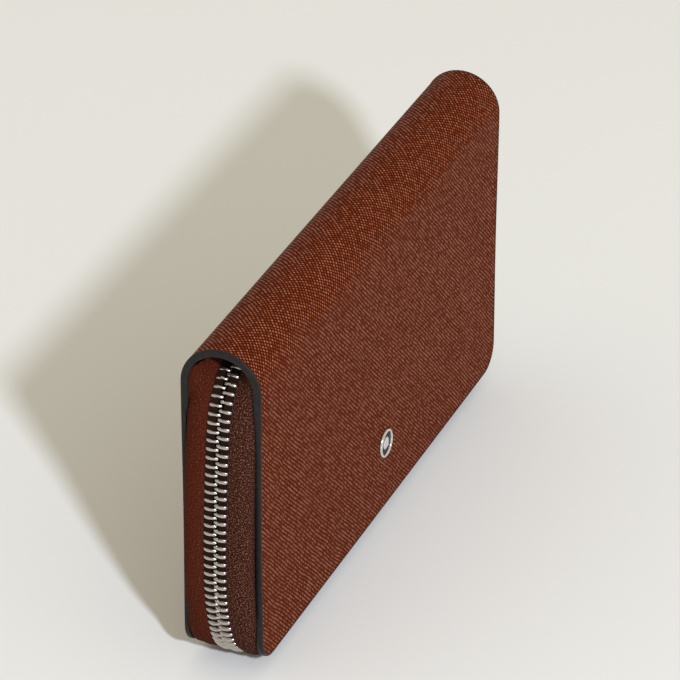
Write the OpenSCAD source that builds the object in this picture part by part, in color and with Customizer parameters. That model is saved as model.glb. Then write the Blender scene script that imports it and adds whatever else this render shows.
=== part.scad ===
// Zip around wallet: two leather covers joined by a rounded spine, with a metal zip
// that runs round the three open sides, a zipped coin pocket in the middle, card slots
// on both covers and folded gussets at both ends.
// +Z is up, towards the spine. +X runs along the wallet to the end where the slider
// rests closed. The front cover, with the badge, faces -Y.
// The origin is below the middle of the spine, on the outer face of the zip.

/* [Covers] */
// Length of the covers
cover_l = 190; // [150:1:230]
// Height of the covers, from their lower edge to the top of the spine
cover_h = 105; // [88:1:126]
// Thickness of the closed wallet over both covers
wallet_t = 25; // [24:0.5:32]
// Radius of the lower corners of the covers
corner_r = 8; // [3:0.5:14]
// Thickness of the outer leather
leather_t = 1.1; // [0.8:0.1:1.4]
// Thickness of the stiffening board
board_t = 0.6; // [0.4:0.1:0.8]
// Thickness of the lining
lining_t = 0.5; // [0.3:0.1:0.7]
// Step back of the board from the leather's edge, and of the lining from the board's
edge_step = 0.4; // [0:0.1:1]

/* [Main zip] */
// Distance that the zip stands below the lower edge of the covers
zip_drop = 5.5; // [2:0.5:8]
// Distance from the end of a cover to where the zip starts to bend round its corner
bend_start = 18.2; // [16:0.1:20]
// Radius of the zip's bend at a lower corner, on its outer face
bend_r = 22; // [20:1:26]
// Angle turned by the corner bend
bend_angle = 70; // [62:1:76]
// Radius of the zip along the lower part of an end
low_r = 67; // [50:1:90]
// Radius of the zip along the upper part of an end, where the slider runs
run_r = 330; // [250:5:500]
// Radius of the zip where it turns in under the spine
tuck_r = 24; // [18:1:30]
// Angle of the zip where it ends under the spine, counted from its level stretch
tuck_angle = 146; // [130:1:150]
// Distance below the hinge line at which the zip starts to turn in
tuck_below = 11.8; // [8:0.1:16]
// Distance between teeth of one row
pitch = 2.77; // [2.4:0.01:3.2]
// Thickness of a tooth along the zip
tooth_w = 1.25; // [0.9:0.05:1.25]
// Width of the closed chain across both rows
chain_w = 7.2; // [6:0.1:7.6]
// Depth of a tooth, from its outer to its inner face
tooth_d = 2.4; // [2:0.1:2.8]
// Gap from the wallet's middle plane to a tooth's head
head_gap = 0.25; // [0.2:0.01:0.3]
// Thickness of the zip tape
tape_t = 0.6; // [0.4:0.05:0.8]
// Width of the tape's sewn edge, against the lining
tape_seam = 8; // [5:0.5:9]

/* [Main slider] */
// Length of the slider
slider_l = 11; // [9:0.5:13]
// Width of the slider
slider_w = 9.8; // [9.6:0.1:10]
// Thickness of each plate of the slider
plate_t = 1.2; // [0.8:0.1:1.4]
// Gap between the teeth and each plate
plate_gap = 0.2; // [0.15:0.05:0.3]
// Travel of the slider down the end of the wallet
slider_travel = 41; // [20:1:42]
// Length of the puller from its pin
puller_l = 30; // [18:1:32]
// Width of the puller's tab
puller_w = 6; // [4.5:0.1:7]
// Radius of the puller's pin
pin_r = 0.8; // [0.6:0.05:0.9]
// Radial clearance of the puller on its pin
pin_clear = 0.08; // [0.05:0.01:0.1]

/* [Inside] */
// Number of card slots on each cover
card_slots = 4; // [4:1:4]
// Thickness of a card slot's leather
slot_t = 0.5; // [0.4:0.05:0.55]
// Height that each card slot's open edge stands back from the one behind it
slot_step = 11; // [7:0.5:12]
// Distance from the end of a cover to the card slots
slot_inset = 7; // [7:0.5:16]
// Distance from the hinge line down to the closed edge of the card slots
slot_drop = 14; // [13:0.5:20]
// Thickness of the coin pocket, over both panels
pocket_t = 3.8; // [3.4:0.1:4.2]
// Thickness of a coin pocket panel
panel_t = 0.7; // [0.5:0.05:0.8]
// Distance from the end of a cover to the coin pocket
pocket_inset = 13; // [12:0.5:20]
// Height of the coin pocket's open edge above the zip's outer face
pocket_z = 26; // [25:0.5:30]
// Depth of a gusset's fold
gusset_d = 25; // [15:1:30]
// Thickness of a gusset's leather
gusset_t = 0.5; // [0.3:0.05:0.6]
// Distance between teeth of one row of the coin zip
coin_pitch = 2; // [1.8:0.1:2.4]
// Length of the coin zip's chain
coin_chain_l = 136; // [90:2:140]
// Length of the coin zip's puller from its pin
coin_puller_l = 13; // [8:0.5:14]

/* [Badge] */
// Diameter of the badge's bezel
badge_d = 9.4; // [7:0.2:14]
// Height of the badge's centre above the covers' lower edge
badge_z = 23; // [14:0.2:40]
// Height that the bezel stands above the leather
badge_h = 1; // [0.6:0.1:1.4]

/* [Hidden] */
$fn = 96;

REAR = 1;
FRONT = -1;
half_t = wallet_t / 2;
half_l = cover_l / 2;
hinge_z = zip_drop + cover_h - half_t;
wall_t = leather_t + board_t + lining_t;
in_y = half_t - wall_t;
// Gap between the covers and the spine along the hinge line, and between loose neighbours
seam_gap = 0.1;
overlap = 1;
deg = 180 / PI;

leather_color = [0.44, 0.24, 0.17];
lining_color = [0.36, 0.2, 0.13];
tape_color = [0.29, 0.14, 0.09];
board_color = [0.5, 0.46, 0.4];
metal_color = [0.78, 0.78, 0.8];

// ---- The path of the main zip's outer face, in the X-Z plane ----
// A point is found from its distance s along the path from the middle of the lower
// side, positive towards +X, and its offset o outwards from the teeth's outer face.
function outward(a) = [-sin(a), -cos(a)];
bend_c = [-(half_l - bend_start), bend_r];
low_c = bend_c + (bend_r - low_r) * outward(bend_angle);
run_c = low_c + (low_r - run_r) * outward(90);
run_end = acos((run_c[1] - (hinge_z - tuck_below)) / run_r);
tuck_c = run_c + (run_r - tuck_r) * outward(run_end);
s_bend = half_l - bend_start;
s_low = s_bend + bend_r * bend_angle / deg;
s_run = s_low + low_r * (90 - bend_angle) / deg;
s_tuck = s_run + run_r * (run_end - 90) / deg;
s_end = s_tuck + tuck_r * (tuck_angle - run_end) / deg;
function half_angle(s) =
    s <= s_bend ? 0
    : s <= s_low ? (s - s_bend) / bend_r * deg
    : s <= s_run ? bend_angle + (s - s_low) / low_r * deg
    : s <= s_tuck ? 90 + (s - s_run) / run_r * deg
    : run_end + (s - s_tuck) / tuck_r * deg;
function half_point(s, o) =
    let (n = outward(half_angle(s)))
    s <= s_bend ? [-s, -o]
    : s <= s_low ? bend_c + (bend_r + o) * n
    : s <= s_run ? low_c + (low_r + o) * n
    : s <= s_tuck ? run_c + (run_r + o) * n
    : tuck_c + (tuck_r + o) * n;
function zip_point(s, o) =
    let (p = half_point(abs(s), o))
    [s > 0 ? -p[0] : p[0], p[1]];
function zip_turn(s) = s > 0 ? -half_angle(s) : half_angle(-s);
function s_at(z) = s_run + run_r * (acos((run_c[1] - z) / run_r) - 90) / deg;

// Distances along the path where the zip's ends leave the covers for the spine
slider_z = hinge_z - tuck_below - slider_l / 2 - 0.5;
s_slider = s_at(slider_z);
s_split_far = s_slider - slider_l / 2 - 1.5;
s_split_near = s_tuck + 5.5;
split_gap = 0.3;
// Distance between the points that draw the path's curves
path_step = 3;
path_n = ceil(s_end / path_step);

function path_stops(s0, s1) = concat(
    [s0],
    [for (k = [-path_n:path_n])
        let (s = k * path_step)
        if (s > s0 + 0.5 && s < s1 - 0.5 && abs(s) > s_bend) s],
    [s1]
);
module band(s0, s1, o_in, o_out) {
    stops = path_stops(s0, s1);
    last = len(stops) - 1;
    polygon(concat(
        [for (s = stops) zip_point(s, o_out)],
        [for (i = [last:-1:0]) zip_point(stops[i], o_in)]
    ));
}

// ---- Helpers ----
module on_side(side) {
    if (side == REAR) children();
    else mirror([0, 1, 0]) children();
}
// Draws an outline of the X-Z plane as a plate between two depths
module plate(y0, y1) {
    translate([0, y1, 0]) rotate([90, 0, 0]) linear_extrude(y1 - y0) children();
}
module block(x0, x1, y0, y1, z0, z1) {
    translate([x0, y0, z0]) cube([x1 - x0, y1 - y0, z1 - z0]);
}
module rod(r, y0, y1) {
    translate([0, y1, 0]) rotate([90, 0, 0]) cylinder(h = y1 - y0, r = r);
}
// Places children, drawn with -Z outwards, on the zip's outer face at s
module on_zip(s) {
    p = zip_point(s, 0);
    translate([p[0], 0, p[1]]) rotate([0, zip_turn(s), 0]) children();
}
module rounded_rect(l, w, r) {
    square([l - 2 * r, w], center = true);
    square([l, w - 2 * r], center = true);
    for (x = [-1, 1], y = [-1, 1]) translate([x * (l / 2 - r), y * (w / 2 - r)]) circle(r);
}

// ---- Covers ----
module cover_outline(inset) {
    w = half_l - inset;
    r = corner_r - inset;
    z0 = zip_drop + inset;
    translate([-w, z0 + r]) square([2 * w, hinge_z - seam_gap / 2 - z0 - r]);
    translate([-w + r, z0]) square([2 * (w - r), 2 * r]);
    for (x = [-w + r, w - r]) translate([x, z0 + r]) circle(r);
}
module cover_layer(side, depth, thick, inset) {
    on_side(side) plate(half_t - depth - thick, half_t - depth) cover_outline(inset);
}
module cover_leather(side) {
    color(leather_color) cover_layer(side, 0, leather_t, 0);
}
module cover_board(side) {
    color(board_color) cover_layer(side, leather_t, board_t, edge_step);
}
module cover_lining(side) {
    color(lining_color) cover_layer(side, leather_t + board_t, lining_t, 2 * edge_step);
}

// ---- Spine ----
module arch(r, thick, inset) {
    translate([-half_l + inset, 0, hinge_z]) rotate([90, 0, 90])
        linear_extrude(cover_l - 2 * inset) difference() {
            circle(r);
            circle(r - thick);
            translate([-r - overlap, seam_gap / 2 - r - overlap])
                square([2 * (r + overlap), r + overlap]);
        }
}
module spine_leather() {
    color(leather_color) arch(half_t, leather_t, 0);
}
module spine_board() {
    color(board_color) arch(half_t - leather_t, board_t, edge_step);
}
module spine_lining() {
    color(lining_color) arch(half_t - leather_t - board_t, lining_t, 2 * edge_step);
}

// ---- Main zip ----
tooth_y = chain_w / 2;
// The tape lies in the middle of a tooth's depth and starts a little way in from its head
tape_o = -(tooth_d - tape_t) / 2;
tape_in = 1.3;
tape_clear = 0.05;
// The padded part of the tape starts beside the slider and is flush with the teeth
pad_y = slider_w / 2 + 0.3;
pad_end = in_y - 1.8;
seam_y = in_y - 0.6;

// A stretch of tape is made of strips side by side, each with its own depth
module tape_strips(s0, s1, y_end) {
    o_in = tape_o - tape_t;
    plate(tape_in, pad_y) band(s0, s1, o_in, tape_o);
    plate(pad_y, pad_end) band(s0, s1, o_in, 0);
    if (y_end > pad_end) plate(pad_end, y_end) band(s0, s1, o_in, tape_o);
}
module zip_tape(side) {
    s0 = -s_split_near;
    s1 = s_split_far;
    color(tape_color) on_side(side) {
        tape_strips(s0, s1, seam_y);
        plate(seam_y, in_y - seam_gap) band(s0, s1, tape_o - tape_seam, tape_o);
    }
}
module tooth() {
    difference() {
        block(-tooth_w / 2, tooth_w / 2, head_gap, tooth_y, 0, tooth_d);
        block(-tooth_w, tooth_w, tape_in - tape_clear, tooth_y + overlap,
              -tape_o - tape_clear, -tape_o + tape_t + tape_clear);
    }
}
tooth_n = ceil(s_end / pitch);
// The front row stands half a pitch along from the rear row
function row_s(side, k) = (side == REAR ? k : k + 0.5) * pitch;
module teeth_between(side, s0, s1) {
    on_side(side) for (k = [-tooth_n:tooth_n]) {
        s = row_s(side, k);
        if (s - tooth_w / 2 > s0 && s + tooth_w / 2 < s1) on_zip(s) tooth();
    }
}
module zip_teeth(side) {
    color(metal_color) teeth_between(side, -s_split_near, s_split_far);
}

// The two ends of the zip stay with the spine
stop_l = 3;
end_tape_y = in_y - 1.7;
module zip_end_tapes() {
    color(tape_color) for (side = [REAR, FRONT]) on_side(side) {
        tape_strips(-s_end, -s_split_near - split_gap, end_tape_y);
        tape_strips(s_split_far + split_gap, s_end, end_tape_y);
    }
}
module zip_end_teeth() {
    color(metal_color) for (side = [REAR, FRONT]) {
        teeth_between(side, -s_end + stop_l, -s_split_near - split_gap);
        teeth_between(side, s_split_far + split_gap, s_end - stop_l);
    }
}
module stop_piece(y0) {
    difference() {
        block(-0.9, 0.9, y0, 3, 0, tooth_d);
        block(-overlap, overlap, tape_in - tape_clear, 3 + overlap,
              -tape_o - tape_clear, -tape_o + tape_t + tape_clear);
    }
}
module zip_stops() {
    color(metal_color) {
        // The closed end has one bar across both tapes
        on_zip(-s_end + 1.2) union() {
            stop_piece(0);
            mirror([0, 1, 0]) stop_piece(0);
        }
        on_zip(s_end - 1.2) stop_piece(head_gap);
        on_zip(s_end - 1.2) mirror([0, 1, 0]) stop_piece(head_gap);
    }
}

// ---- Main slider and puller, drawn with -Z outwards and +X up the chain ----
flange_gap = 0.25;
slot_clear = 0.2;
web_t = 0.3;
ear_t = 0.9;
ear_gap = 0.1;
eye_w = 3;
eye_r = pin_r + 0.7;
pin_z = -(plate_gap + plate_t + eye_r + 0.2);
module slider_plate(z0, z1) {
    translate([0, 0, z0]) linear_extrude(z1 - z0) rounded_rect(slider_l, slider_w, 2.2);
}
module slider_flange(z0, z1) {
    intersection() {
        slider_plate(z0, z1);
        union() {
            for (m = [0, 1]) mirror([0, m, 0])
                block(-slider_l, slider_l, tooth_y + flange_gap, slider_w, z0, z1);
        }
    }
}
module zip_slider() {
    out_z = -plate_gap - plate_t;
    in_z = tooth_d + plate_gap;
    color(metal_color) on_zip(s_slider) {
        slider_plate(out_z, -plate_gap);
        slider_plate(in_z, in_z + plate_t);
        slider_flange(-plate_gap, -tape_o - slot_clear);
        slider_flange(-tape_o + tape_t + slot_clear, in_z);
        block(-slider_l / 2 + 0.3, slider_l / 2 - 0.3, -web_t / 2, web_t / 2, -plate_gap, in_z);
        // Two ears carry the puller's pin
        for (m = [0, 1]) mirror([0, m, 0]) {
            block(-1.6, 1.6, eye_w / 2 + ear_gap, eye_w / 2 + ear_gap + ear_t, pin_z, out_z);
            translate([0, 0, pin_z]) rod(1.6, eye_w / 2 + ear_gap, eye_w / 2 + ear_gap + ear_t);
        }
        translate([0, 0, pin_z]) rod(pin_r, -eye_w / 2 - ear_gap, eye_w / 2 + ear_gap);
    }
}
// A flat tab with a narrow neck and an eye at the pin, hanging towards -X
module pull_tab(length, width, thick, eye_radius, eye_width, bore_r) {
    difference() {
        union() {
            rod(eye_radius, -eye_width / 2, eye_width / 2);
            translate([0, 0, -thick / 2]) linear_extrude(thick) {
                translate([-width, -eye_width / 2]) square([width, eye_width]);
                translate([-length + width / 2, 0]) circle(width / 2);
                translate([-length + width / 2, -width / 2])
                    square([length - width, width]);
            }
        }
        rod(bore_r, -eye_width, eye_width);
    }
}
module zip_puller() {
    color(metal_color) on_zip(s_slider) translate([0, 0, pin_z])
        pull_tab(puller_l, puller_w, 1.4, eye_r, eye_w, pin_r + pin_clear);
}

// ---- Card slots ----
slot_top = hinge_z - slot_drop;
module card_slot(side, k) {
    z0 = zip_drop + 10 + (k - 1) * slot_step;
    y1 = in_y - seam_gap - (k - 1) * slot_t;
    w = half_l - slot_inset;
    color(lining_color) on_side(side)
        plate(y1 - slot_t, y1) translate([-w, z0]) square([2 * w, slot_top - z0]);
}

// ---- Gussets: a V fold between a cover and the coin pocket, with its fold inwards ----
gusset_top = hinge_z - 6;
gusset_y0 = pocket_t / 2 + seam_gap;
gusset_y1 = in_y - card_slots * slot_t - 2 * seam_gap;
module gusset(side, end) {
    mid = (gusset_y0 + gusset_y1) / 2;
    x1 = half_l - 9;
    x0 = x1 - gusset_d;
    x_in = x0 + gusset_t * gusset_d / (mid - gusset_y0);
    z0 = zip_drop + 10.5;
    color(lining_color) on_side(side) mirror([end < 0 ? 1 : 0, 0, 0])
        translate([0, 0, z0]) linear_extrude(gusset_top - z0) polygon([
            [x1, gusset_y0], [x0, mid], [x1, gusset_y1],
            [x1, gusset_y1 - gusset_t], [x_in, mid], [x1, gusset_y0 + gusset_t]
        ]);
}

// ---- Coin pocket ----
pocket_top = hinge_z - 2;
panel_in = pocket_t / 2 - panel_t;
coin_tape_t = 0.45;
coin_tooth_y = 2;
coin_tooth_d = 1.6;
// The outer face of the coin zip's teeth lies below the pocket's open edge
coin_z = pocket_z - 5;
module coin_panel(side) {
    w = half_l - pocket_inset;
    color(lining_color) on_side(side)
        plate(panel_in, pocket_t / 2) translate([-w, pocket_z]) square([2 * w, pocket_top - pocket_z]);
}
coin_tape_y = panel_in - 0.05 - coin_tape_t;
coin_tape_z = coin_z + 0.6;
module coin_tape(side) {
    w = coin_chain_l / 2 + 6;
    color(tape_color) on_side(side)
        block(-w, w, coin_tape_y, coin_tape_y + coin_tape_t, coin_tape_z, coin_z + 14);
}
module coin_tooth() {
    difference() {
        block(-0.45, 0.45, head_gap, coin_tooth_y, 0, coin_tooth_d);
        block(-1, 1, coin_tape_y - 0.05, coin_tape_y + coin_tape_t + 0.05,
              coin_tape_z - coin_z - 0.05, coin_tooth_d + 1);
    }
}
module coin_teeth(side) {
    n = floor(coin_chain_l / 2 / coin_pitch);
    shift = side == REAR ? 0 : 0.5;
    color(metal_color) on_side(side) for (k = [-n:n - 1])
        translate([(k + shift) * coin_pitch, 0, coin_z]) coin_tooth();
}
// The coin zip's slider runs on the chain with its outer plate downwards
coin_slider_x = coin_chain_l / 2 - 8;
coin_slider_l = 8;
coin_plate = 1;
coin_clear = 0.2;
coin_pin_r = 0.55;
coin_eye_r = 1.1;
coin_eye_w = 2.2;
coin_pin_z = -coin_clear - coin_plate - coin_eye_r - 0.2;
module at_coin_slider() {
    translate([coin_slider_x, 0, coin_z]) children();
}
module coin_slider() {
    w = coin_tooth_y + coin_clear;
    h = coin_slider_l / 2;
    out_z = -coin_clear - coin_plate;
    ear_y = coin_eye_w / 2 + ear_gap;
    color(metal_color) at_coin_slider() {
        translate([0, 0, out_z]) linear_extrude(coin_plate) rounded_rect(coin_slider_l, 2 * w + 1.6, 1.5);
        for (m = [0, 1]) mirror([0, m, 0]) {
            block(-h + 1.5, h - 1.5, w, w + 0.8, -coin_clear, coin_tooth_d);
            block(-1.1, 1.1, ear_y, ear_y + 0.7, coin_pin_z, out_z);
            translate([0, 0, coin_pin_z]) rod(1.1, ear_y, ear_y + 0.7);
        }
        block(-h + 0.5, h - 0.5, -0.12, 0.12, -coin_clear, coin_tooth_d + coin_clear);
        block(-h + 0.5, h - 0.5, -0.4, 0.4, coin_tooth_d + coin_clear, coin_tooth_d + coin_clear + 0.7);
        translate([0, 0, coin_pin_z]) rod(coin_pin_r, -ear_y, ear_y);
    }
}
module coin_puller() {
    color(metal_color) at_coin_slider() translate([0, 0, coin_pin_z]) rotate([0, -90, 0])
        pull_tab(coin_puller_l, 4, 1, coin_eye_r, coin_eye_w, coin_pin_r + pin_clear);
}

// ---- Badge: a plain bezel and dome held by a rivet through the front leather ----
rivet_r = 1.25;
rivet_clear = 0.05;
dome_r = badge_d / 2 - 1.3;
module at_badge() {
    translate([0, -half_t, zip_drop + badge_z]) rotate([90, 0, 0]) children();
}
module badge_bezel() {
    color(metal_color) at_badge() rotate_extrude() polygon([
        [dome_r, 0], [badge_d / 2, 0], [badge_d / 2, badge_h * 0.4],
        [badge_d / 2 - 0.35, badge_h], [dome_r + 0.25, badge_h], [dome_r, badge_h * 0.7]
    ]);
}
// The dome is the cap of a large sphere above a flat foot
dome_foot = badge_h * 0.5;
dome_rise = 0.7;
dome_ball = (pow(dome_r - seam_gap, 2) + pow(dome_rise, 2)) / (2 * dome_rise);
module badge_dome() {
    color(metal_color) at_badge() {
        cylinder(h = dome_foot, r = dome_r - seam_gap);
        intersection() {
            translate([0, 0, dome_foot + dome_rise - dome_ball]) sphere(dome_ball);
            translate([0, 0, dome_foot - 0.2]) cylinder(h = 2 * dome_rise, r = dome_r - seam_gap);
        }
    }
}
module badge_rivet() {
    color(metal_color) at_badge() translate([0, 0, -leather_t]) cylinder(h = leather_t, r = rivet_r);
}

// ---- Sub-parts ----
module rear_leather() { cover_leather(REAR); }
module rear_board() { cover_board(REAR); }
module rear_lining() { cover_lining(REAR); }
module front_leather() {
    difference() {
        cover_leather(FRONT);
        at_badge() translate([0, 0, -leather_t - overlap])
            cylinder(h = leather_t + 2 * overlap, r = rivet_r + rivet_clear);
    }
}
module front_board() { cover_board(FRONT); }
module front_lining() { cover_lining(FRONT); }

rear_leather();
rear_board();
rear_lining();
card_slot(REAR, 1);  // rear_card_slot_1
card_slot(REAR, 2);  // rear_card_slot_2
card_slot(REAR, 3);  // rear_card_slot_3
card_slot(REAR, 4);  // rear_card_slot_4
zip_tape(REAR);  // rear_zip_tape
zip_teeth(REAR);  // rear_zip_teeth
spine_leather();
spine_board();
spine_lining();
zip_end_tapes();
zip_end_teeth();
zip_stops();
gusset(REAR, -1);  // gusset_near_rear
gusset(FRONT, -1);  // gusset_near_front
gusset(REAR, 1);  // gusset_far_rear
gusset(FRONT, 1);  // gusset_far_front
coin_panel(REAR);  // coin_pocket_rear
coin_panel(FRONT);  // coin_pocket_front
coin_tape(REAR);  // coin_tape_rear
coin_tape(FRONT);  // coin_tape_front
coin_teeth(REAR);  // coin_teeth_rear
coin_teeth(FRONT);  // coin_teeth_front
coin_slider();
coin_puller();
front_leather();
front_board();
front_lining();
card_slot(FRONT, 1);  // front_card_slot_1
card_slot(FRONT, 2);  // front_card_slot_2
card_slot(FRONT, 3);  // front_card_slot_3
card_slot(FRONT, 4);  // front_card_slot_4
zip_tape(FRONT);  // front_zip_tape
zip_teeth(FRONT);  // front_zip_teeth
badge_bezel();
badge_dome();
badge_rivet();
zip_slider();
zip_puller();
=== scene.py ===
"""A long zip around wallet in cross-hatched leather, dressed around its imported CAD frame.

Lengths are written in millimetres and turned to metres where a point is placed.
+X runs to the end where the slider rests, the front cover faces -Y, +Z is up to the spine.
"""
import math
import bpy
import bmesh
from mathutils import Matrix, Vector
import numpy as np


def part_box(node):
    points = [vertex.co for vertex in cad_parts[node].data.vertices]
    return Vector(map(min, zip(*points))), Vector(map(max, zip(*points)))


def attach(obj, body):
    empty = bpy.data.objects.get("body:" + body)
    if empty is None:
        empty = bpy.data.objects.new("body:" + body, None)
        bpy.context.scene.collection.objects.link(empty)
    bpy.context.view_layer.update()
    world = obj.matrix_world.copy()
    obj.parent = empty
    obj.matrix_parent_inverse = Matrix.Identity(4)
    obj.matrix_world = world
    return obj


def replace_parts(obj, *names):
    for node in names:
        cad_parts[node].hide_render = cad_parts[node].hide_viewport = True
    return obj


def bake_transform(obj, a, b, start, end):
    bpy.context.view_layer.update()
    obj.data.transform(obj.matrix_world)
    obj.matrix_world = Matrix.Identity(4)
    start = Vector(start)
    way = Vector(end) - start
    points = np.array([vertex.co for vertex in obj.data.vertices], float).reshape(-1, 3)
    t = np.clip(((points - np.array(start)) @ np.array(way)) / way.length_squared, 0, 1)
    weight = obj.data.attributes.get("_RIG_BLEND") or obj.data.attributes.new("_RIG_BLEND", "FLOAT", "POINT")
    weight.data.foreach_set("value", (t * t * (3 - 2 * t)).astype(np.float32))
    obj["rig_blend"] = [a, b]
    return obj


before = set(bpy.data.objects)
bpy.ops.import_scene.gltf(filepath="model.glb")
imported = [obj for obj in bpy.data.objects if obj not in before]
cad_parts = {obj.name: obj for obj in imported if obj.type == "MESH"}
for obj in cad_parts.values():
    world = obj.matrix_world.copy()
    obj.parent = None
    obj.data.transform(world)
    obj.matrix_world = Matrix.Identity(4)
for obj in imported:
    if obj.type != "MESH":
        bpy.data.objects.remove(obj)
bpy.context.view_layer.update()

MM = 0.001
REAR, FRONT = 1, -1
BODY = {REAR: "rear", FRONT: "front"}

# ---------------------------------------------------------------- camera
# A long lens, 31 degrees above the table, looking along the wallet from its near end.
CAMERA_TURN, CAMERA_RISE, CAMERA_ROLL = (math.radians(a) for a in (-67.40, 30.58, -0.24))
CAMERA_AIM = Vector((-6.4, 0, 66.1)) * MM
CAMERA_DISTANCE = 1.345
CAMERA_LENS = 233.1


def make_camera():
    back = Vector((
        math.sin(CAMERA_TURN) * math.cos(CAMERA_RISE),
        -math.cos(CAMERA_TURN) * math.cos(CAMERA_RISE),
        math.sin(CAMERA_RISE),
    ))
    right = Vector((math.cos(CAMERA_TURN), math.sin(CAMERA_TURN), 0))
    roll = Matrix.Rotation(-CAMERA_ROLL, 3, back)
    right = roll @ right
    up = back.cross(right)
    data = bpy.data.cameras.new("camera")
    data.lens = CAMERA_LENS
    data.sensor_width = 36
    data.clip_end = 20
    camera = bpy.data.objects.new("camera", data)
    axes = Matrix((right, up, back)).transposed().to_4x4()
    camera.matrix_world = Matrix.Translation(CAMERA_AIM + back * CAMERA_DISTANCE) @ axes
    bpy.context.scene.collection.objects.link(camera)
    bpy.context.scene.camera = camera


# ---------------------------------------------------------------- sizes from the frame
low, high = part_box("rear_leather")
HALF_L = high.x / MM
HALF_T = high.y / MM
COVER_FOOT = low.z / MM
HINGE_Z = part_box("spine_leather")[0].z / MM
LEATHER = (high.y - low.y) / MM
IN_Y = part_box("rear_lining")[0].y / MM
CORNER = 8.0
WAIST = 0.2

# The zip's path, as in the frame: straight below, then four bends up each end.
BEND_START, BEND_R, BEND_ANGLE = 18.2, 22.0, 70.0
LOW_R, RUN_R, TUCK_R, TUCK_ANGLE = 67.0, 330.0, 24.0, 146.0
TUCK_BELOW = 11.8
PITCH, CHAIN_W, TOOTH_D = 2.77, 7.2, 2.4


def outward(a):
    return Vector((-math.sin(a), -math.cos(a)))


def zip_bends():
    """Each bend of one end as (start distance, start angle, radius, centre in X-Z)."""
    bend, right_angle, tuck = (math.radians(a) for a in (BEND_ANGLE, 90, TUCK_ANGLE))
    start = HALF_L - BEND_START
    c1 = Vector((-start, BEND_R))
    c2 = c1 + (BEND_R - LOW_R) * outward(bend)
    c3 = c2 + (LOW_R - RUN_R) * outward(right_angle)
    run = math.acos((c3.y - (HINGE_Z - TUCK_BELOW)) / RUN_R)
    c4 = c3 + (RUN_R - TUCK_R) * outward(run)
    s1 = start
    s2 = s1 + BEND_R * bend
    s3 = s2 + LOW_R * (right_angle - bend)
    s4 = s3 + RUN_R * (run - right_angle)
    end = s4 + TUCK_R * (tuck - run)
    bends = [(s1, 0.0, BEND_R, c1), (s2, bend, LOW_R, c2),
             (s3, right_angle, RUN_R, c3), (s4, run, TUCK_R, c4)]
    return bends, end


ZIP_BENDS, ZIP_END = zip_bends()


def zip_at(s, o=0.0):
    """X, Z and turn of the zip at distance s from its middle, offset o outwards."""
    d = abs(s)
    x, z, a = -d, -o, 0.0
    for start, a0, r, centre in ZIP_BENDS:
        if d > start:
            a = a0 + (d - start) / r
            x, z = centre + (r + o) * outward(a)
    return (-x, z, -a) if s > 0 else (x, z, a)


# ---------------------------------------------------------------- mesh helpers
def finish_mesh(name, bm, smooth_angle=35):
    mesh = bpy.data.meshes.new(name)
    bm.to_mesh(mesh)
    bm.free()
    mesh.polygons.foreach_set("use_smooth", [True] * len(mesh.polygons))
    mesh.set_sharp_from_angle(angle=math.radians(smooth_angle))
    piece = bpy.data.objects.new(name, mesh)
    bpy.context.scene.collection.objects.link(piece)
    return piece


def settle(piece, smooth_angle=35):
    """Applies the piece's modifiers, so that its mesh is final."""
    bpy.context.view_layer.update()
    shaped = piece.evaluated_get(bpy.context.evaluated_depsgraph_get())
    mesh = bpy.data.meshes.new_from_object(shaped)
    piece.modifiers.clear()
    piece.data = mesh
    mesh.polygons.foreach_set("use_smooth", [True] * len(mesh.polygons))
    mesh.set_sharp_from_angle(angle=math.radians(smooth_angle))
    return piece


def thicken(piece, mm, offset=-1.0):
    """Gives a sheet its wall, inwards from its face unless the offset centres it."""
    wall = piece.modifiers.new("thickness", "SOLIDIFY")
    wall.thickness = mm * MM
    wall.offset = offset
    return settle(piece)


def sheet(name, us, vs, place, grain, closed=False, flip=False):
    """A grid whose columns stand at us and rows at vs. place gives each point in mm,
    and grain its place in the pattern, in mm, which becomes the UV map in metres."""
    bm = bmesh.new()
    nu, nv = len(us) - 1, len(vs) - 1
    bmesh.ops.create_grid(bm, x_segments=nu, y_segments=nv, size=0.5)
    uv = bm.loops.layers.uv.new("grain")
    spots = {}
    for v in bm.verts:
        i = round((v.co.x + 0.5) * nu)
        j = round((v.co.y + 0.5) * nv)
        spots[v] = (us[i], vs[j])
    for face in bm.faces:
        for loop in face.loops:
            loop[uv].uv = Vector(grain(*spots[loop.vert])) * MM
    for v, spot in spots.items():
        v.co = Vector(place(*spot)) * MM
    if closed:
        bmesh.ops.remove_doubles(bm, verts=bm.verts, dist=1e-7)
    if flip:
        bmesh.ops.reverse_faces(bm, faces=bm.faces)
    return finish_mesh(name, bm)


def lathe(name, profile, centre, axis, turns=64, smooth_angle=35):
    """Spins a profile of (radius, height) in mm round an axis through centre."""
    bm = bmesh.new()
    up = Vector(axis).normalized()
    side = up.orthogonal().normalized()
    line = [bm.verts.new((Vector(centre) + side * r + up * h) * MM) for r, h in profile]
    edges = [bm.edges.new(pair) for pair in zip(line, line[1:])]
    bmesh.ops.spin(bm, geom=line + edges, cent=Vector(centre) * MM, axis=up, dvec=(0, 0, 0),
                   angle=2 * math.pi, steps=turns, use_merge=True)
    bmesh.ops.remove_doubles(bm, verts=bm.verts, dist=1e-7)
    bmesh.ops.recalc_face_normals(bm, faces=bm.faces)
    return finish_mesh(name, bm, smooth_angle)


def steps(a, b, n):
    """n equal steps from a to b, with both ends."""
    return [a + (b - a) * i / n for i in range(n + 1)]


# The bend between a cover and the spine reaches this far above and below the hinge.
BEND_REACH = 6


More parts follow.
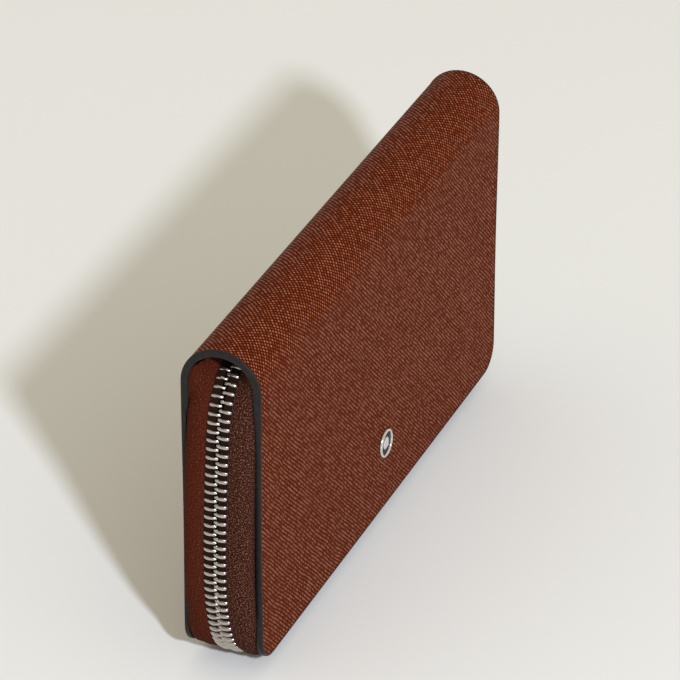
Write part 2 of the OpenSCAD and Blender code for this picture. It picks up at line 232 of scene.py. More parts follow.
def bend_across(piece, side, weight=None):
    """Blends a piece from its cover to the spine, along Z across the hinge. weight, where
    given, says instead how far each point has gone over to the spine."""
    hinge = Vector((0, side * HALF_T, HINGE_Z)) * MM
    reach = Vector((0, 0, BEND_REACH)) * MM
    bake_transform(piece, BODY[side], "spine", start=hinge - reach, end=hinge + reach)
    if weight:
        share = piece.data.attributes["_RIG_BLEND"].data
        for v, item in zip(piece.data.vertices, share):
            item.value = weight(v.co / MM)
    return piece


def smooth_step(t):
    """Eases from 0 to 1 as t does."""
    t = min(max(t, 0.0), 1.0)
    return t * t * (3 - 2 * t)


# ---------------------------------------------------------------- materials
def colour(hexa):
    """An sRGB hex colour as linear RGBA."""
    values = [int(hexa[i:i + 2], 16) / 255 for i in (1, 3, 5)]
    return [v / 12.92 if v <= 0.04045 else ((v + 0.055) / 1.055) ** 2.4 for v in values] + [1.0]


class Finish:
    """One material and the nodes it is made of."""

    def __init__(self, name, base, roughness, metallic=0.0, **sockets):
        self.material = bpy.data.materials.new(name)
        self.material.use_nodes = True
        self.tree = self.material.node_tree
        self.shader = self.tree.nodes["Principled BSDF"]
        self.shader.inputs["Base Color"].default_value = colour(base)
        self.shader.inputs["Roughness"].default_value = roughness
        self.shader.inputs["Metallic"].default_value = metallic
        for socket, value in sockets.items():
            self.shader.inputs[socket.replace("_", " ")].default_value = value

    def node(self, kind, *inputs, out=0, stops=(), **settings):
        """Adds a node and gives one of its outputs, or all of them where out is None. Each
        input is a value or another node's output for the next socket, or a (socket, value)
        pair. stops are a colour ramp's (place, hex) pairs."""
        made = self.tree.nodes.new("ShaderNode" + kind)
        for key, value in settings.items():
            setattr(made, key, value)
        for index, given in enumerate(inputs):
            socket, value = given if isinstance(given, tuple) else (index, given)
            if isinstance(value, bpy.types.NodeSocket):
                self.tree.links.new(value, made.inputs[socket])
            else:
                made.inputs[socket].default_value = value
        if stops:
            points = made.color_ramp.elements
            while len(points) < len(stops):
                points.new(0.5)
            for point, (place, hexa) in zip(points, stops):
                point.position = place
                point.color = colour(hexa)
        return made.outputs if out is None else made.outputs[out]

    def use(self, **outputs):
        """Links outputs to the shader's own sockets."""
        for socket, value in outputs.items():
            self.tree.links.new(value, self.shader.inputs[socket.replace("_", " ")])


# Spacing of the embossed grooves, and how sharply each of the two families is cut: the
# pebbles between them are a little longer one way than the other.
HATCH = 1.08
HATCH_CUTS = ((1, 1.0), (-1, 1.35))


def hatched_leather():
    """Saffiano calf: two families of fine grooves pressed in at 45 degrees, about 1.1 mm apart,
    under a hard wax coat. Rows of small pebbles, uneven as pressed leather is, are coloured light
    and the net of grooves between them darker and redder: painted light on the tops and painted
    shade in the grooves. A dull gloss where the surface turns away."""
    f = Finish("saffiano_leather", "#5A2410", 0.55, Specular_IOR_Level=0.012,
               Sheen_Weight=0.3, Sheen_Roughness=0.12, Sheen_Tint=colour("#E8C0B0"))
    grain = f.node("TexCoord", out="UV")
    u, v, _ = f.node("SeparateXYZ", grain, out=None)
    fine = f.node("TexNoise", grain, ("Scale", 300.0), ("Detail", 2.0))
    wander = f.node("Math", fine, 0.5, operation="SUBTRACT")
    coarse = f.node("TexNoise", grain, ("Scale", 70.0), ("Detail", 2.0))
    drift = f.node("Math", coarse, 0.5, operation="SUBTRACT")
    cells, cuts = [], []
    for sign, sharpness in HATCH_CUTS:
        # Each groove drifts by up to about half its spacing and wavers finely on top of that.
        across = f.node("Math", v, float(sign), u, operation="MULTIPLY_ADD")
        count = f.node("Math", across, 1 / (math.sqrt(2) * HATCH * MM), operation="MULTIPLY")
        count = f.node("Math", drift, 1.3 * sign, count, operation="MULTIPLY_ADD")
        count = f.node("Math", wander, 0.4, count, operation="MULTIPLY_ADD")
        cells.append(count)
        share = f.node("Math", count, operation="FRACT")
        half_turn = f.node("Math", share, math.pi, operation="MULTIPLY")
        arch = f.node("Math", half_turn, operation="SINE")
        cuts.append(f.node("Math", arch, sharpness, operation="POWER"))
    pebble = f.node("Math", *cuts, operation="MULTIPLY")
    column, row = (f.node("Math", cell, operation="FLOOR") for cell in cells)
    corner = f.node("CombineXYZ", column, row)
    chance = f.node("TexWhiteNoise", corner, noise_dimensions="3D")
    # Each pebble stands a little higher or lower than its neighbours, and is painted lighter or darker with
    # it.
    rise = f.node("Math", chance, 0.55, 0.55, operation="MULTIPLY_ADD")
    height = f.node("Math", pebble, rise, operation="MULTIPLY")
    # The ramp colours by height: dark in the grooves and light on the pebble tops, painted shade and painted
    # light over the leather's own brown.
    tone = f.node("ValToRGB", height,
                  stops=((0.0, "#390F02"), (0.22, "#4E1804"), (0.5, "#74351A"), (0.85, "#AC7056")))
    place = f.node("TexCoord", out="Object")
    cloud = f.node("TexNoise", place, ("Scale", 28.0), ("Detail", 3.0))
    share = f.node("Math", cloud, 0.3, operation="MULTIPLY")
    warm = f.node("Mix", share, (6, tone), (7, colour("#5C240D")), out=2, data_type="RGBA")
    relief = f.node("Bump", ("Height", height), ("Strength", 0.8), ("Distance", 0.2 * MM))
    f.use(Base_Color=warm, Normal=relief)
    return f.material


def smooth_leather():
    """Vegetable-tanned lining calf: thin, matt, with fine pores and a faint marbled tone."""
    f = Finish("lining_calf", "#5A3122", 0.6, Specular_IOR_Level=0.35)
    grain = f.node("TexCoord", out="UV")
    # Pores 0.4 mm apart.
    pores = f.node("TexNoise", grain, ("Scale", 2600.0), ("Detail", 4.0), ("Roughness", 0.6))
    place = f.node("TexCoord", out="Object")
    marble = f.node("TexNoise", place, ("Scale", 60.0), ("Detail", 4.0))
    tone = f.node("ValToRGB", marble, stops=((0.3, "#54291A"), (0.7, "#6B3A28")))
    share = f.node("Math", pores, 0.25, operation="MULTIPLY")
    dyed = f.node("Mix", share, (6, tone), (7, colour("#3A1B10")), out=2, data_type="RGBA")
    relief = f.node("Bump", ("Height", pores), ("Strength", 0.6), ("Distance", 0.05 * MM))
    f.use(Base_Color=dyed, Normal=relief)
    return f.material


def painted_edge():
    """Edge paint on a cut leather edge: several coats of dark charcoal dye, burnished to a
    rounded satin band with slight ripples along it."""
    f = Finish("edge_paint", "#1B1917", 0.45, Specular_IOR_Level=0.2)
    place = f.node("TexCoord", out="Object")
    # Ripples about 2.4 mm long.
    ripple = f.node("TexNoise", place, ("Scale", 420.0), ("Detail", 3.0))
    tone = f.node("ValToRGB", ripple, stops=((0.3, "#171615"), (0.7, "#211F1D")))
    relief = f.node("Bump", ("Height", ripple), ("Strength", 0.5), ("Distance", 0.08 * MM))
    f.use(Base_Color=tone, Normal=relief)
    return f.material


# Spacing of the tape's ribs, the width of a stripe of its herringbone, and the width of the
# corded edge that the teeth clamp, which is painted dark as shade.
RIB, STRIPE, TOOTH_SHADE_W = 0.9, 3.2, 2.7


def woven_tape():
    """Zip tape: polyester woven in a herringbone, whose ribs change direction every 3.2 mm. At
    0.9 mm they are drawn coarser than the real thread so that they show. Matt, with light
    specks painted as highlights where a thread crosses over, and painted shade by the teeth."""
    f = Finish("zip_tape_weave", "#47210F", 0.85, Specular_IOR_Level=0.03)
    grain = f.node("TexCoord", out="UV")
    along, across, _ = f.node("SeparateXYZ", grain, out=None)
    fold = f.node("Math", across, STRIPE * MM, operation="PINGPONG")
    slant = f.node("Math", along, fold, operation="ADD")
    rib = f.node("Math", slant, 2 * math.pi / (RIB * MM), operation="MULTIPLY")
    wave = f.node("Math", rib, operation="SINE")
    ridge = f.node("Math", wave, 0.5, 0.5, operation="MULTIPLY_ADD")
    # A thread gets a painted highlight, a light speck, where it crosses over its neighbours,
    # fewer on the rear tape: the two tapes are painted as lit and shaded copies of one tape.
    fibre = f.node("TexNoise", grain, ("Scale", 2100.0), ("Detail", 1.0))
    knot = f.node("Math", fibre, 5.0, -2.5, operation="MULTIPLY_ADD", use_clamp=True)
    place = f.node("TexCoord", out="Object")
    _, depth, _ = f.node("SeparateXYZ", place, out=None)
    front = f.node("Math", depth, -400.0, 0.5, operation="MULTIPLY_ADD", use_clamp=True)
    lit_side_share = f.node("Math", front, 0.7, 0.3, operation="MULTIPLY_ADD")
    painted_speck_highlight = f.node("Math", knot, lit_side_share, operation="MULTIPLY")
    lift = f.node("Math", ridge, 0.65, 0.35, operation="MULTIPLY_ADD")
    height = f.node("Math", lift, painted_speck_highlight, operation="MULTIPLY")
    # The two tapes get different base tones, painted light and shade on one dyed tape.
    dyed = f.node("Mix", front, (6, colour("#431709")), (7, colour("#31140B")), out=2,
                  data_type="RGBA")
    threads = f.node("Mix", height, (6, dyed), (7, colour("#8A6453")), out=2, data_type="RGBA")
    # The corded edge by the teeth is painted nearly black, painted shade between and under the teeth.
    tooth_shade = f.node("Math", across, TOOTH_SHADE_W * MM, operation="LESS_THAN")
    woven = f.node("Mix", tooth_shade, (6, threads), (7, colour("#24150F")), out=2, data_type="RGBA")
    relief = f.node("Bump", ("Height", height), ("Strength", 0.9), ("Distance", 0.18 * MM))
    f.use(Base_Color=woven, Normal=relief)
    return f.material


def polished_metal(name, base, roughness):
    """Nickel-plated zinc or brass, or steel, tumbled bright: clear reflections with fine haze."""
    f = Finish(name, base, roughness, metallic=1.0)
    place = f.node("TexCoord", out="Object")
    haze = f.node("TexNoise", place, ("Scale", 900.0), ("Detail", 3.0))
    dull = f.node("Math", haze, 0.16, roughness - 0.06, operation="MULTIPLY_ADD")
    dents = f.node("TexNoise", place, ("Scale", 500.0), ("Detail", 2.0))
    relief = f.node("Bump", ("Height", dents), ("Strength", 0.3), ("Distance", 0.02 * MM))
    f.use(Roughness=dull, Normal=relief)
    return f.material


def linen_thread():
    """Waxed linen thread, a shade lighter than the leather, with a fine lay of twisted plies."""
    f = Finish("waxed_linen_thread", "#7A4630", 0.6, Specular_IOR_Level=0.3)
    place = f.node("TexCoord", out="Object")
    plies = f.node("TexNoise", place, ("Scale", 1800.0), ("Detail", 2.0))
    tone = f.node("ValToRGB", plies, stops=((0.3, "#683725"), (0.7, "#8C553D")))
    relief = f.node("Bump", ("Height", plies), ("Strength", 0.6), ("Distance", 0.04 * MM))
    f.use(Base_Color=tone, Normal=relief)
    return f.material


def pressed_board():
    """Salpa board: pressed leather fibre, grey-brown and dull."""
    f = Finish("salpa_board", "#7A6A5A", 0.9)
    place = f.node("TexCoord", out="Object")
    fibre = f.node("TexNoise", place, ("Scale", 1400.0), ("Detail", 4.0))
    tone = f.node("ValToRGB", fibre, stops=((0.3, "#6A5A4B"), (0.7, "#8A7A69")))
    relief = f.node("Bump", ("Height", fibre), ("Strength", 0.5), ("Distance", 0.06 * MM))
    f.use(Base_Color=tone, Normal=relief)
    return f.material


def black_enamel():
    """Cold enamel filled into the badge's channel: deep black, glossy, with a faint
    orange-peel."""
    f = Finish("black_enamel", "#0C0B0B", 0.2, Specular_IOR_Level=0.06)
    place = f.node("TexCoord", out="Object")
    peel = f.node("TexNoise", place, ("Scale", 700.0), ("Detail", 2.0))
    gloss = f.node("Math", peel, 0.1, 0.08, operation="MULTIPLY_ADD")
    relief = f.node("Bump", ("Height", peel), ("Strength", 0.3), ("Distance", 0.01 * MM))
    f.use(Roughness=gloss, Normal=relief)
    return f.material


SAFFIANO = hatched_leather()
CALF = smooth_leather()
EDGE_PAINT = painted_edge()
TAPE_WEAVE = woven_tape()
ZIP_METAL = polished_metal("nickel_plated_brass", "#BFB8B2", 0.22)
PULL_METAL = polished_metal("polished_zinc", "#D8D8DA", 0.14)
BADGE_METAL = polished_metal("polished_steel", "#E4E4E6", 0.08)
BOARD = pressed_board()
ENAMEL = black_enamel()
SEWING = linen_thread()


def dress(piece, material):
    piece.data.materials.clear()
    piece.data.materials.append(material)
    return piece


# ---------------------------------------------------------------- the covers' wrap
# A cover's layers are cut flat and wrapped from the top of the spine down to the foot.
# t runs along the outer face, from the top of the spine.
ARC_T = HALF_T * math.pi / 2
FOOT_T = ARC_T + HINGE_Z - COVER_FOOT


def wrap(side, x, t, depth):
    """A point of the wrapped layers: t along the outer face, depth in from it."""
    if t < ARC_T:
        a = t / HALF_T
        r = HALF_T - depth
        return (x, side * r * math.sin(a), HINGE_Z + r * math.cos(a))
    down = (t - ARC_T) / (FOOT_T - ARC_T)
    waist = WAIST * math.sin(math.pi * min(down * 1.05, 1.0)) ** 2
    return (x, side * (HALF_T - depth - waist), HINGE_Z - (t - ARC_T))


def half_width(t, inset):
    """How far a layer reaches along X at t: less at its rounded lower corners."""
    r = CORNER - inset
    past = t - (FOOT_T - inset - r)
    return HALF_L - inset - (r - math.sqrt(max(r * r - past * past, 0.0)) if past > 0 else 0.0)


def wrap_rows(inset):
    """Rows from the spine's top to the foot, closest on the arch and the corners."""
    r = CORNER - inset
    corner_t = FOOT_T - inset - r
    arch = [0.0, 0.04] + steps(0.6, ARC_T + 6.0, 34)
    flat = steps(ARC_T + 6.0, corner_t, 22)[1:]
    corner = [corner_t + r * math.sin(a) for a in steps(0, math.pi / 2, 10)[1:]]
    return arch + flat + corner


def wrapped_layer(name, side, depth, thick, inset):
    """One layer of a cover and its half of the spine."""
    spread = [math.sin(a) for a in steps(-math.pi / 2, math.pi / 2, 36)]

    def place(u, t):
        return wrap(side, u * half_width(t, inset), t, depth)

    piece = sheet(name, spread, wrap_rows(inset), place,
                  lambda u, t: (u * half_width(t, inset), side * t), flip=side == FRONT)
    return bend_across(thicken(piece, thick), side)


def outline(side, inset):
    """The cut edge of a wrapped half, from the spine's top at the near end, round the foot,
    to the spine's top at the far end, as (x, t, outward x, outward t)."""
    near = []
    r = CORNER - inset
    for t in steps(0.0, FOOT_T - inset - r, 60)[:-1]:
        near.append((-(HALF_L - inset), t, -1.0, 0.0))
    for a in steps(0, math.pi / 2, 10):
        near.append((-(HALF_L - inset - r) - r * math.cos(a), FOOT_T - inset - r + r * math.sin(a),
                     -math.cos(a), math.sin(a)))
    far = [(-x, t, -ox, ot) for x, t, ox, ot in reversed(near)]
    return near + far


# The painted edge is widest round the spine, where the lining is turned in with the cover.
SPINE_EDGE, COVER_EDGE = 2.15, {REAR: 1.45, FRONT: 1.75}
EDGE_STEP_T = ARC_T + 8.5


def painted_bead(name, side):
    """A rounded band of paint over the cut edge, with a little of it on either face."""
    path = outline(side, 0.0)
    profile = []
    for a in steps(-math.pi / 2, math.pi / 2, 8):
        profile.append((0.12 + 0.3 * math.cos(a), 0.5 + 0.5 * math.sin(a)))
    profile = [(-0.35, -0.02)] + profile + [(-0.35, 1.02)]
    lap = 0.07

    def place(i, j):
        x, t, ox, ot = path[round(i)]
        out, across = profile[round(j)]
        wide = SPINE_EDGE + (COVER_EDGE[side] - SPINE_EDGE) * smooth_step((t - EDGE_STEP_T) / 0.9)
        return wrap(side, x + ox * out, t + ot * out, -lap + across * (wide + 2 * lap))

    piece = sheet(name, list(range(len(path))), list(range(len(profile))), place,
                  lambda i, j: (i * 1.8, j * 0.3), flip=side == FRONT)
    return bend_across(piece, side)


# The thickness of the board and the lining, and how far each layer stops short of the cut edge.
BOARD_WALL, LINING_WALL = 0.5, 0.5
LEATHER_INSET, BOARD_INSET, LINING_INSET = 0.05, 0.6, 0.9


def build_covers():
    for side, end in ((REAR, "rear"), (FRONT, "front")):
        skin = dress(wrapped_layer(end + "_leather_wrap", side, 0.0, LEATHER,
                                   LEATHER_INSET),
                     SAFFIANO)
        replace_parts(skin, end + "_leather", "spine_leather")
        core = dress(wrapped_layer(end + "_board_wrap", side, LEATHER + 0.02, BOARD_WALL,
                                   BOARD_INSET),
                     BOARD)
        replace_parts(core, end + "_board", "spine_board")
        inner = dress(wrapped_layer(end + "_lining_wrap", side, HALF_T - IN_Y - LINING_WALL,
                                    LINING_WALL, LINING_INSET),
                      CALF)
        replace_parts(inner, end + "_lining", "spine_lining")
        dress(painted_bead(end + "_edge_paint", side), EDGE_PAINT)


# ---------------------------------------------------------------- the main zip
# The tape across its width: y from the chain outwards, o inwards from the teeth's face.
TAPE_PROFILE = ((0.9, -0.95), (2.2, -0.9), (3.4, -0.95), (3.85, -0.85), (4.4, -0.6), (5.2, -0.35),
                (6.4, -0.2), (7.6, -0.3), (8.7, -0.65), (9.7, -1.3), (10.5, -2.2), (10.85, -3.6),
                (10.6, -5.2), (10.2, -6.6), (10.18, -9.6))
TAPE_WALL = 0.4
TAPE_EDGE = HALF_L - 0.9
# The chain and its tapes go on a little past the frame's, up inside the arch.
CHAIN_END, TAPE_END = ZIP_END + 0.6, ZIP_END + 4.5
# The slider's foot, the length of chain that bends towards it from below, and the half width
# that it holds: the chain, and a little of the tape beside it.
SLIDER_LOW, RUN_IN = 73.0, 30
HELD, FREE = CHAIN_W / 2 + 0.5, 10


def spine_share(y, z, far):
    """How far a point of the zip follows the spine. The chain at the far end is held
    closed by the slider; the rest leaves with its cover."""
    edge = smooth_step((z - (HINGE_Z - BEND_REACH)) / (2 * BEND_REACH))
    if not far:
        return edge
    chain = smooth_step((z - (SLIDER_LOW - RUN_IN)) / RUN_IN)
    across = min(max((abs(y) - HELD) / (FREE - HELD), 0.0), 1.0)
    return chain + (edge - chain) * across


def zip_blend(piece, side):
    return bend_across(piece, side, lambda p: spine_share(p.y, p.z, p.x > 0))


def zip_stations(end):
    bends = [s for s, _, _, _ in ZIP_BENDS]
    return ([-end] + [-s for s in steps(end, bends[0], 62)[1:-1]] + steps(-bends[0], bends[0], 24)
            + steps(bends[0], end, 62)[1:])


def make_tape(side, name):
    lengths = [0.0]
    for (y0, o0), (y1, o1) in zip(TAPE_PROFILE, TAPE_PROFILE[1:]):
        lengths.append(lengths[-1] + math.hypot(y1 - y0, o1 - o0))

    def place(s, j):
        y, o = TAPE_PROFILE[j]
        x, z, _ = zip_at(s, o)
        if side == REAR:
            # The rear tape bulges out round the cover's lower corners: below 24 mm, past 68 mm
            # from the middle and in its outermost 2 to 3 mm.
            corner = smooth_step((24 - z) / 12) * smooth_step((abs(x) - 68) / 12)
            bulge = min(max(-0.5 - o, 0.0), 1.9)
            x, z, _ = zip_at(s, o + bulge * corner * smooth_step((y - 8) / 1.5))
        # High up, where the chain tucks in, the tape's edges stay out at the cover's edge.
        out = smooth_step((z - 45) / 35) * smooth_step((y - 4.5) / 4.7)
        if j < len(TAPE_PROFILE) - 1:
            x = math.copysign(abs(x) + max(TAPE_EDGE - abs(x), 0.0) * out, x)
        # Under the arch of the spine the tape narrows to fit inside the lining.
        if z > HINGE_Z:
            room = math.sqrt(max((IN_Y - 0.3) ** 2 - (z - HINGE_Z) ** 2, 1.0))
            y = y * min(1.0, room / (IN_Y - 0.3))
        return (x, side * y, z)

    piece = sheet(name, zip_stations(TAPE_END), list(range(len(TAPE_PROFILE))), place,
                  lambda s, j: (s, lengths[j]), flip=side == REAR)
    smooth = piece.modifiers.new("smooth", "SUBSURF")
    smooth.levels = smooth.render_levels = 1
    settle(piece)
    thicken(piece, TAPE_WALL)
    return zip_blend(piece, side)


# A tooth along its length: (y, half width along the zip, drop of its crowned face). The legs
# clamp the tape at 3.6 and the head reaches past the middle, between two opposite heads.
TOOTH_ROWS = ((3.80, 0.44, 1.05), (3.62, 0.54, 0.70), (3.10, 0.56, 0.32), (2.30, 0.54, 0.06),
              (1.45, 0.47, 0.0), (0.85, 0.40, 0.12), (0.40, 0.49, 0.28), (-0.20, 0.47, 0.55),
              (-0.62, 0.29, 0.98))
# Across its width: (share of the half width, drop of the rounded shoulder).
TOOTH_COLUMNS = ((-1.0, 0.24), (-0.62, 0.0), (0.62, 0.0), (1.0, 0.24))


def tooth_template(bm):
    """One tooth, its outer face near Z = 0 and its body towards +Z, on the +Y side."""
    columns, rows = len(TOOTH_COLUMNS) - 1, len(TOOTH_ROWS) - 1
    bmesh.ops.create_grid(bm, x_segments=columns, y_segments=rows, size=0.5)
    for v in bm.verts:
        share, shoulder = TOOTH_COLUMNS[round((v.co.x + 0.5) * columns)]
        y, half, drop = TOOTH_ROWS[round((v.co.y + 0.5) * rows)]
        v.co = Vector((share * half, y, shoulder + drop)) * MM
    grown = bmesh.ops.extrude_face_region(bm, geom=bm.faces[:], use_keep_orig=True)
    for v in grown["geom"]:
        if isinstance(v, bmesh.types.BMVert):
            v.co.z = TOOTH_D * MM
    bmesh.ops.recalc_face_normals(bm, faces=bm.faces)


def make_teeth(side, name):
    bm = bmesh.new()
    tooth_template(bm)
    template = bm.verts[:] + bm.edges[:] + bm.faces[:]
    reach = math.ceil(ZIP_END / PITCH)
    flip = Matrix.Scale(-1, 4, Vector((0, 1, 0))) if side == FRONT else Matrix.Identity(4)
    for k in range(-reach, reach + 1):
        s = (k if side == REAR else k + 0.5) * PITCH
        if abs(s) > CHAIN_END:
            continue
        x, z, turn = zip_at(s)
        copied = bmesh.ops.duplicate(bm, geom=template)["geom"]
        verts = [g for g in copied if isinstance(g, bmesh.types.BMVert)]
        place = Matrix.Translation(Vector((x, 0, z)) * MM) @ Matrix.Rotation(turn, 4, "Y") @ flip
        bmesh.ops.transform(bm, matrix=place, verts=verts)
    bmesh.ops.delete(bm, geom=[g for g in template if isinstance(g, bmesh.types.BMVert)],
                     context="VERTS")
    bmesh.ops.recalc_face_normals(bm, faces=bm.faces)
    return zip_blend(finish_mesh(name, bm, 50), side)


def make_stops():
    """A crimped metal staple across both tapes, past the last teeth of each end."""
    bm = bmesh.new()
    for end in (-1, 1):
        x, z, turn = zip_at(end * (CHAIN_END + 1.9), -0.4)
        place = Matrix.Translation(Vector((x, 0, z)) * MM) @ Matrix.Rotation(turn, 4, "Y")
        size = Matrix.Diagonal(Vector((1.8, 6.0, 1.3)) * MM).to_4x4()
        bmesh.ops.create_cube(bm, size=1.0, matrix=place @ size)
    bmesh.ops.bevel(bm, geom=bm.edges[:], offset=0.4 * MM, segments=2, profile=0.5,
                    affect="EDGES", material=-1)
    return finish_mesh("zip_stop_staples", bm)


def build_zip():
    for side, end in ((REAR, "rear"), (FRONT, "front")):
        tape = dress(make_tape(side, end + "_tape_band"), TAPE_WEAVE)
        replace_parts(tape, end + "_zip_tape", "zip_end_tapes")
        teeth = dress(make_teeth(side, end + "_teeth_row"), ZIP_METAL)
        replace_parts(teeth, end + "_zip_teeth", "zip_end_teeth")
    stops = dress(make_stops(), ZIP_METAL)
    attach(stops, "spine")
    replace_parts(stops, "zip_stops")
    for name in ("zip_slider", "zip_puller", "coin_slider", "coin_puller"):
        dress(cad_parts[name], PULL_METAL)


# ---------------------------------------------------------------- inside
def carry_over(names, material):
    for name in names:
        dress(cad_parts[name], material)


# A crease or a pressed channel: its depth, and its half width.
CREASE_DEPTH, CREASE_HALF = 0.07, 0.35
SLOT_CORNER, SLOT_CREASE, SLOT_WALL, SLOT_SEAM = 3.0, 1.6, 0.4, 85.5
POCKET_CORNER, POCKET_CREASE, POCKET_WALL = 5.0, 2.0, 0.5
POCKET_SEAM_UP, POCKET_SEAM_HALF = 4.2, 73.0
COIN_TAPE_WALL = 0.36
CARD_SLOTS = range(1, 5)


def node_sizes(node):
    lowest, highest = (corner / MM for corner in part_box(node))
    return lowest, highest


def leather_panel(name, node, side, corner, crease, thick, seams=()):
    """A flat panel of lining leather with rounded lower corners, a heated crease along its
    mouth and a pressed channel under each seam, in the place of a node."""
    lowest, highest = node_sizes(node)
    middle = (abs(lowest.y) + abs(highest.y)) / 2
    half, tall = highest.x, highest.z - lowest.z
    rows = [corner * (1 - math.cos(a)) for a in steps(0, math.pi / 2, 8)]
    rows += [crease - CREASE_HALF, crease, crease + CREASE_HALF]
    rows = sorted(set(round(r, 3) for r in rows)) + steps(corner + crease, tall, 10)[1:]
    columns = set(round(half * math.sin(a), 3) for a in steps(-math.pi / 2, math.pi / 2, 24))
    for seam in seams:
        columns |= {seam - CREASE_HALF, seam, seam + CREASE_HALF}

    def place(u, v):
        short = corner - v
        cut = corner - math.sqrt(corner * corner - short * short) if short > 0 else 0.0
        pressed = abs(v - crease) < 0.01 or any(abs(u - seam) < 0.01 for seam in seams)
        x = u * (half - cut) / half
        return (x, side * (middle + (CREASE_DEPTH if pressed else 0.0)), lowest.z + v)

    piece = sheet(name, sorted(columns), rows, place, lambda u, v: (u, v))
    thicken(piece, thick, offset=0.0)
    dress(piece, CALF)
    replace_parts(piece, node)
    return piece


# A stitch's length, the gap to the next, its width and its thickness.
STITCH, STITCH_GAP, STITCH_WIDE, STITCH_PROUD = 2.1, 0.9, 0.42, 0.22


def stitch_row(bm, start, end, side):
    """Saddle stitches from start to end, on a face that looks along Y."""
    start, end = Vector(start), Vector(end)
    along = (end - start).normalized()
    count = int((end - start).length / (STITCH + STITCH_GAP))
    across = Vector((0, side, 0)).cross(along)
    turn = Matrix((along, across, Vector((0, side, 0)))).transposed().to_4x4()
    size = Matrix.Diagonal(Vector((STITCH, STITCH_WIDE, STITCH_PROUD)) * MM).to_4x4()
    for k in range(count):
        middle = start + along * (k + 0.5) * (end - start).length / count
        bmesh.ops.create_uvsphere(bm, u_segments=8, v_segments=5, radius=0.5,
                                  matrix=Matrix.Translation(middle * MM) @ turn @ size)


def slot_stitches(side, end):
    """The seams of the card slots: one at each end and one between the two columns."""
    bm = bmesh.new()
    for k in CARD_SLOTS:
        lowest, highest = node_sizes(f"{end}_card_slot_{k}")
        inner = min(abs(lowest.y), abs(highest.y))
        over = k + 1
        top = node_sizes(f"{end}_card_slot_{over}")[0].z if over in CARD_SLOTS else highest.z - 2
        for x in (-SLOT_SEAM, 0, SLOT_SEAM):
            stitch_row(bm, (x, side * inner, lowest.z + 2.4), (x, side * inner, top - 0.3), -side)
    piece = dress(finish_mesh(end + "_slot_stitches", bm, 60), SEWING)
    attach(piece, end)


# A gusset across its fold: x from its outer edge inwards, and how far it has gone from the
# pocket (0) to the cover (1). Both ends turn in behind the fold as sewn-down flanges.
GUSSET_PROFILE = ((11.5, 0.03), (8.5, 0.03), (4.0, 0.03), (1.6, 0.035), (0.4, 0.06), (0.2, 0.11),
                  (0.9, 0.15), (4.0, 0.2), (10.0, 0.27), (17.0, 0.36), (22.5, 0.43), (24.3, 0.47),
                  (24.6, 0.5), (24.3, 0.53), (22.5, 0.57), (17.0, 0.64), (10.0, 0.73), (4.0, 0.8),
                  (0.9, 0.85), (0.2, 0.89), (0.4, 0.94), (1.6, 0.965), (4.0, 0.97), (8.5, 0.97),
                  (11.5, 0.97))
GUSSET_WALL = 0.4


def make_gusset(name, node, side, far):
    """One folded leather gusset between a cover and the coin pocket."""
    lowest, highest = node_sizes(node)
    near_y, far_y = sorted((abs(lowest.y), abs(highest.y)))
    outer = max(abs(lowest.x), abs(highest.x))
    near_y, far_y = near_y + GUSSET_WALL / 2, far_y - GUSSET_WALL / 2
    line = [Vector((outer - x, near_y + (far_y - near_y) * share)) for x, share in GUSSET_PROFILE]
    lengths = [0.0]
    for a, b in zip(line, line[1:]):
        lengths.append(lengths[-1] + (b - a).length)

    def place(j, z):
        return (far * line[j].x, side * line[j].y, z)

    rows = steps(lowest.z, highest.z, 24)
    piece = sheet(name, list(range(len(line))), rows, place, lambda j, z: (lengths[j], z))
    thicken(piece, GUSSET_WALL, offset=0.0)
    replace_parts(dress(piece, CALF), node)
    # The fold opens like a fan: its outer flange goes with the cover, its inner one stays.
    bend_across(piece, side,
                lambda p: smooth_step((far_y - 0.2 - abs(p.y)) / (far_y - near_y - 0.4)))


def coin_tape(side, end):
    lowest, highest = node_sizes("coin_tape_" + end)
    middle = (abs(lowest.y) + abs(highest.y)) / 2
    piece = sheet(f"coin_tape_{end}_band", steps(lowest.x, highest.x, 40),
                  steps(lowest.z, highest.z, 8), lambda x, z: (x, side * middle, z),
                  lambda x, z: (x, z - lowest.z))
    thicken(piece, COIN_TAPE_WALL, offset=0.0)
    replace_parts(dress(piece, TAPE_WEAVE), "coin_tape_" + end)
    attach(piece, "spine")


def build_inside():
    for side, end in ((REAR, "rear"), (FRONT, "front")):
        for k in CARD_SLOTS:
            panel = leather_panel(f"{end}_slot_panel_{k}", f"{end}_card_slot_{k}", side,
                                  SLOT_CORNER, SLOT_CREASE, SLOT_WALL, (-SLOT_SEAM, 0, SLOT_SEAM))
            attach(panel, end)
        slot_stitches(side, end)
        pocket = leather_panel(f"coin_pocket_{end}_panel", "coin_pocket_" + end, side,
                               POCKET_CORNER, POCKET_CREASE, POCKET_WALL)
        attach(pocket, "spine")
        lowest, highest = node_sizes("coin_pocket_" + end)
        face = side * (max(abs(lowest.y), abs(highest.y)) - 0.1)
        up = lowest.z + POCKET_SEAM_UP
        bm = bmesh.new()
        stitch_row(bm, (-POCKET_SEAM_HALF, face, up), (POCKET_SEAM_HALF, face, up), side)
        seam = dress(finish_mesh(f"coin_pocket_{end}_stitches", bm, 60), SEWING)
        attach(seam, "spine")
        coin_tape(side, end)
        for far, where in ((-1, "near"), (1, "far")):
            make_gusset(f"{where}_{end}_gusset_fold", f"gusset_{where}_{end}", side, far)
    carry_over(["coin_teeth_rear", "coin_teeth_front"], ZIP_METAL)


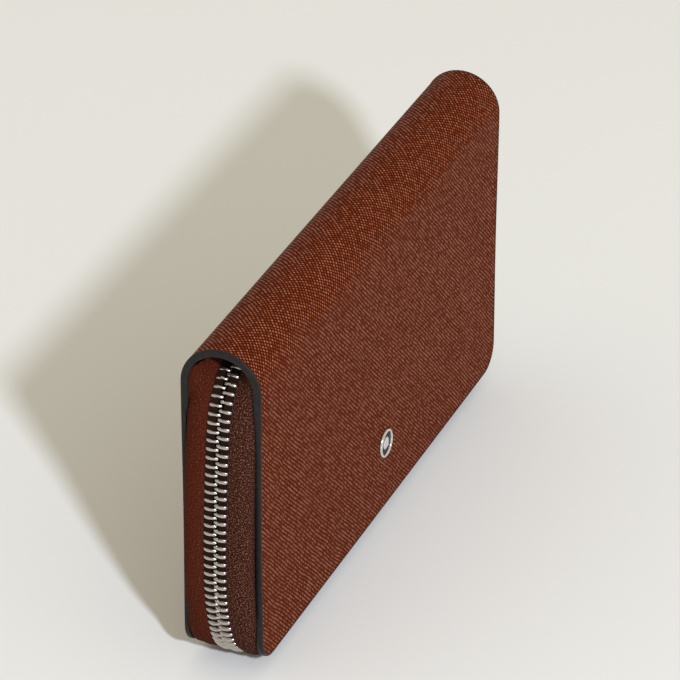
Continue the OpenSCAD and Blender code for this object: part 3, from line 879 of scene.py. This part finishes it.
# ---------------------------------------------------------------- badge
RIM_PROFILE = ((0, 0.02), (4.68, 0.02), (4.7, 0.4), (4.62, 0.7), (4.44, 0.92), (4.24, 1.0), (4.04, 0.95),
               (3.91, 0.8), (3.84, 0.5), (3.82, 0.2), (0, 0.2))
INLAY_PROFILE = ((0, 0.2), (3.82, 0.2), (3.82, 0.3), (3.4, 0.34), (2.2, 0.36), (0, 0.36))
DOME_PROFILE = ((0, 0.3), (2.0, 0.3), (2.05, 0.42), (1.96, 0.56), (1.66, 0.69), (1.16, 0.79),
                (0.5, 0.84), (0, 0.85))


def build_badge():
    lowest, highest = (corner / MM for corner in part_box("badge_bezel"))
    middle = (lowest + highest) / 2
    middle.y = -HALF_T
    for name, profile, finish, node in (
            ("badge_rim", RIM_PROFILE, BADGE_METAL, "badge_bezel"),
            ("badge_inlay", INLAY_PROFILE, ENAMEL, "badge_bezel"),
            ("badge_cap", DOME_PROFILE, BADGE_METAL, "badge_dome")):
        piece = dress(lathe(name, profile, middle, (0, -1, 0)), finish)
        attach(piece, "front")
        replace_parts(piece, node)
    carry_over(["badge_rivet"], BADGE_METAL)


# ---------------------------------------------------------------- room and light
def make_floor():
    bm = bmesh.new()
    bmesh.ops.create_grid(bm, x_segments=1, y_segments=1, size=6.0)
    floor = finish_mesh("floor", bm)
    paper = Finish("matt_paper", "#E9E8E0", 0.9, Specular_IOR_Level=0.1)
    place = paper.node("TexCoord", out="Object")
    pulp = paper.node("TexNoise", place, ("Scale", 3.0), ("Detail", 3.0))
    paper.use(Base_Color=paper.node("ValToRGB", pulp, stops=((0.0, "#E6E5DD"), (1.0, "#EAE8E1"))))
    floor.data.materials.append(paper.material)


KEY_PLACE = Vector((-695, -588, 611)) * MM
KEY_RADIUS = 0.034
KEY_STRENGTH = 36.3


def make_light():
    """A small soft key from the near left, slightly cool, and an even warm studio round it."""
    scene = bpy.context.scene
    scene.view_settings.view_transform = "Standard"
    world = bpy.data.worlds.new("studio")
    scene.world = world
    world.use_nodes = True
    back = world.node_tree.nodes["Background"]
    back.inputs["Color"].default_value = (1.0, 0.95, 0.83, 1.0)
    back.inputs["Strength"].default_value = 0.65
    lamp = bpy.data.lights.new("key", "POINT")
    lamp.shadow_soft_size = KEY_RADIUS
    lamp.energy = 1.0
    lamp.color = (0.757, 0.826, 1.0)
    # Falloff is switched off, as from a far larger studio flash, so that the floor is even.
    lamp.use_nodes = True
    tree = lamp.node_tree
    fade = tree.nodes.new("ShaderNodeLightFalloff")
    fade.inputs["Strength"].default_value = KEY_STRENGTH
    tree.links.new(fade.outputs["Constant"], tree.nodes["Emission"].inputs["Strength"])
    key = bpy.data.objects.new("key", lamp)
    key.location = KEY_PLACE
    scene.collection.objects.link(key)


make_camera()
make_light()
make_floor()
build_covers()
build_zip()
build_inside()
build_badge()
